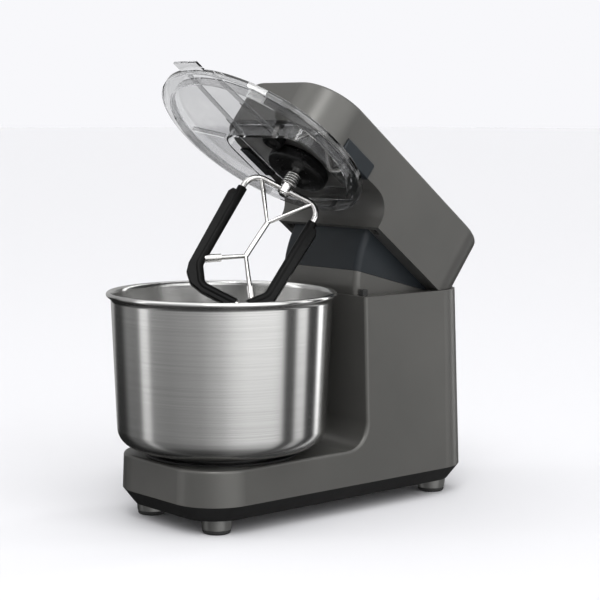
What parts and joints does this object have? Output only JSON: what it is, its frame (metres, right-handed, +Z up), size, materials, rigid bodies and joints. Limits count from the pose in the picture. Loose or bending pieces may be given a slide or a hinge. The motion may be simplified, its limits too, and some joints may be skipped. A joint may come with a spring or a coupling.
{
  "type": "tilt-head stand mixer",
  "caption": "Tilt-head dough mixer with its head open: hollow column base, turning steel bowl, flat beater with soft edges and a clear splash guard.",
  "frame": {"origin": "on the floor under the middle of the mixer's box with its head open", "axes": "+Z up, +Y from the bowl towards the column and the hinge, +X to the right seen from the bowl's side"},
  "size_m": [0.242, 0.4379, 0.4767],
  "materials": {
    "body_paint": "warm dark grey satin powder coat",
    "pan_plastic": "black moulded plastic",
    "foot_metal": "satin grey metal",
    "foot_rubber": "black rubber",
    "cover_plastic": "blue-black satin plastic",
    "bowl_steel": "circular brushed stainless steel",
    "seat_plastic": "black plastic",
    "table_metal": "dark anodised",
    "shaft_steel": "ground steel",
    "frame_casting": "cast",
    "motor_case": "painted",
    "belt_rubber": "ribbed rubber",
    "board_resin": "green board",
    "guard_clear": "clear polished plastic",
    "beater_chrome": "polished steel rod",
    "scraper_silicone": "black silicone",
    "hub_plastic": "black satin",
    "display_glass": "dark window",
    "dial_metal": "turned dial",
    "contact_brass": "plated contacts",
    "screw_steel": "zinc plated",
    "bush_bronze": "sintered bronze"
  },
  "bodies": {
    "base": {"base_housing": "body_paint", "base_pan": "pan_plastic", "base_screws": "screw_steel", "foot_front_left": "foot_metal", "foot_front_right": "foot_metal", "foot_rear_left": "foot_metal", "foot_rear_right": "foot_metal", "foot_pad_front_left": "foot_rubber", "foot_pad_front_right": "foot_rubber", "foot_pad_rear_left": "foot_rubber", "foot_pad_rear_right": "foot_rubber", "neck_shell": "body_paint", "hinge_cover": "cover_plastic", "bumper_left": "foot_rubber", "bumper_right": "foot_rubber", "bowl_seat": "seat_plastic", "spindle_housing": "frame_casting", "bowl_motor": "motor_case", "bowl_belt": "belt_rubber", "chassis": "frame_casting", "hinge_shaft": "shaft_steel", "dial_bezel": "dial_metal", "dial_encoder": "pan_plastic", "display_window": "display_glass", "control_board": "board_resin", "power_inlet": "seat_plastic", "inlet_pins": "contact_brass"},
    "turntable": {"turntable": "table_metal", "bowl_spindle": "shaft_steel", "bowl_pulley": "frame_casting", "bowl": "bowl_steel", "bowl_foot_ring": "bowl_steel"},
    "motor_rotor": {"motor_shaft": "shaft_steel", "motor_pulley": "frame_casting"},
    "dial": {"speed_dial": "dial_metal"},
    "head": {"head_shell": "body_paint", "hinge_bush_left": "bush_bronze", "hinge_bush_right": "bush_bronze", "head_motor": "motor_case", "hub_cover": "hub_plastic", "breaker_socket": "hub_plastic", "socket_bolt": "beater_chrome", "splash_guard": "guard_clear"},
    "release_left": {"release_button_left": "cover_plastic"},
    "release_right": {"release_button_right": "cover_plastic"},
    "tool": {"tool_shaft": "shaft_steel", "shaft_spring": "shaft_steel", "beater_frame": "beater_chrome", "scraper_left": "scraper_silicone", "scraper_right": "scraper_silicone"}
  },
  "joints": [
    {"name": "head_tilt", "type": "hinge", "parent": "base", "child": "head", "pos_m": [0, 0.1446, 0.2417], "axis": [1, 0, 0], "range_deg": [0, 38]},
    {"name": "bowl_spin", "type": "hinge", "parent": "base", "child": "turntable", "pos_m": [0, -0.0984, 0.0687], "axis": [0, 0, 1], "continuous": true},
    {"name": "tool_spin", "type": "hinge", "parent": "head", "child": "tool", "pos_m": [0, -0.00118, 0.3556], "axis": [0, 0.6157, 0.788], "continuous": true},
    {"name": "motor_spin", "type": "hinge", "parent": "base", "child": "motor_rotor", "pos_m": [0, 0.1146, 0.0617], "axis": [0, 0, 1], "continuous": true},
    {"name": "dial_turn", "type": "hinge", "parent": "base", "child": "dial", "pos_m": [-0.08483, 0.1156, 0.1517], "axis": [-0.9994, 0, 0.0356], "range_deg": [0, 270]},
    {"name": "release_left_press", "type": "slide", "parent": "head", "child": "release_left", "axis": [1, 0, 0], "range_m": [0, 0.003], "stiffness_N_per_m": 600},
    {"name": "release_right_press", "type": "slide", "parent": "head", "child": "release_right", "axis": [-1, 0, 0], "range_m": [0, 0.003], "stiffness_N_per_m": 600}
  ],
  "couplings": [
    {"joint": "tool_spin", "follows": "bowl_spin", "ratio": 4},
    {"joint": "motor_spin", "follows": "bowl_spin", "ratio": 3.5714}
  ]
}
